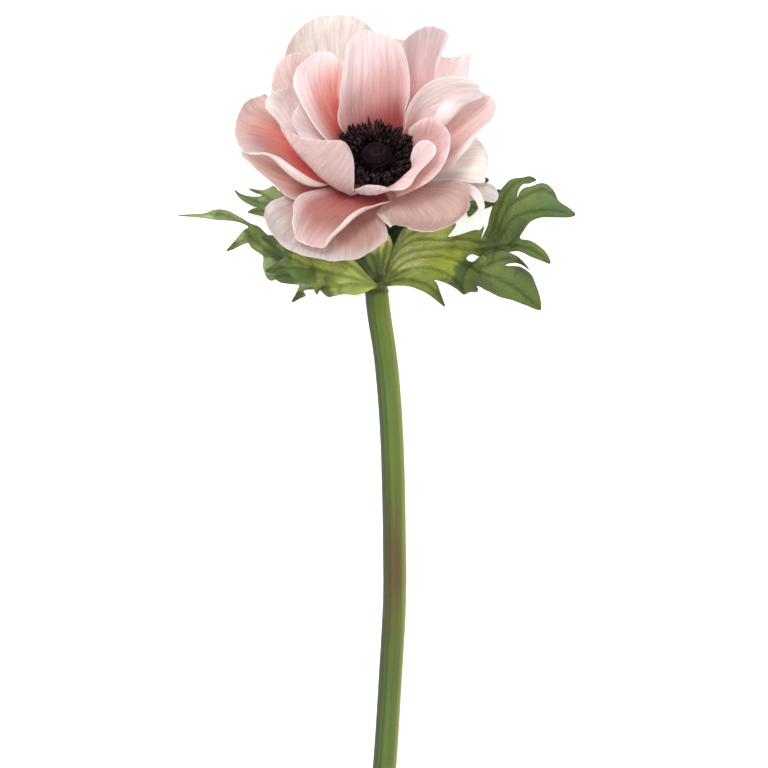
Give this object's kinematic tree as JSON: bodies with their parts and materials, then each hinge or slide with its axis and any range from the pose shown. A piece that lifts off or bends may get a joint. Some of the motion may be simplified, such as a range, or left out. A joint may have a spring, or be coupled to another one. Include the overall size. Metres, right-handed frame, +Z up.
{
  "type": "anemone flower",
  "caption": "Cut anemone in pale pink: cupped double bloom around a near-black centre, a ruff of lobed green leaves and a long curved stem, lying on a surface",
  "frame": {"origin": "centre of the bounding box's base, on the surface that the flower lies on", "axes": "+Z up from the surface, +Y along the stem from its cut end to the bloom, +X to the bloom's right as seen from above"},
  "size_m": [0.1335, 0.3004, 0.0623],
  "materials": {
    "petal_inner": "soft matt pale pink, fine lengthwise veins, deeper salmon at the base, near-white rim",
    "petal_middle": "soft matt salmon pink, fine lengthwise veins, pale rolled rim",
    "petal_outer": "soft matt greyed pink to cream, fine veins",
    "leaf": "matt mid green, yellower at the leaf base, paler raised veins",
    "stem": "satin green with long fine ribs and a brown-purple band",
    "pistil": "matt purple-black, fine bumpy texture",
    "stamens": "matt near-black, crowded anthers"
  },
  "bodies": {
    "root": {"petal_top_centre": "petal_inner", "petal_upper_left": "petal_inner", "petal_left_fold": "petal_inner", "petal_left_small": "petal_inner", "petal_front_small": "petal_inner", "petal_right_inner": "petal_inner", "petal_right_arch": "petal_inner", "petal_top_right": "petal_middle", "petal_left_upper": "petal_middle", "petal_left_outer": "petal_middle", "petal_bottom_front": "petal_middle", "petal_bottom_right": "petal_middle", "petal_right_outer": "petal_middle", "petal_right_back_up": "petal_outer", "petal_left_back": "petal_outer", "petal_right_back": "petal_outer", "petal_right_low_back": "petal_outer", "petal_tongue": "petal_outer", "petal_top_back": "petal_outer", "petal_top_back_right": "petal_outer", "petal_bottom_back": "petal_outer", "leaf_right": "leaf", "leaf_left": "leaf", "leaf_front": "leaf", "leaf_up": "leaf", "leaf_back": "leaf", "stem": "stem", "pistil": "pistil", "stamens": "stamens"}
  },
  "joints": []
}
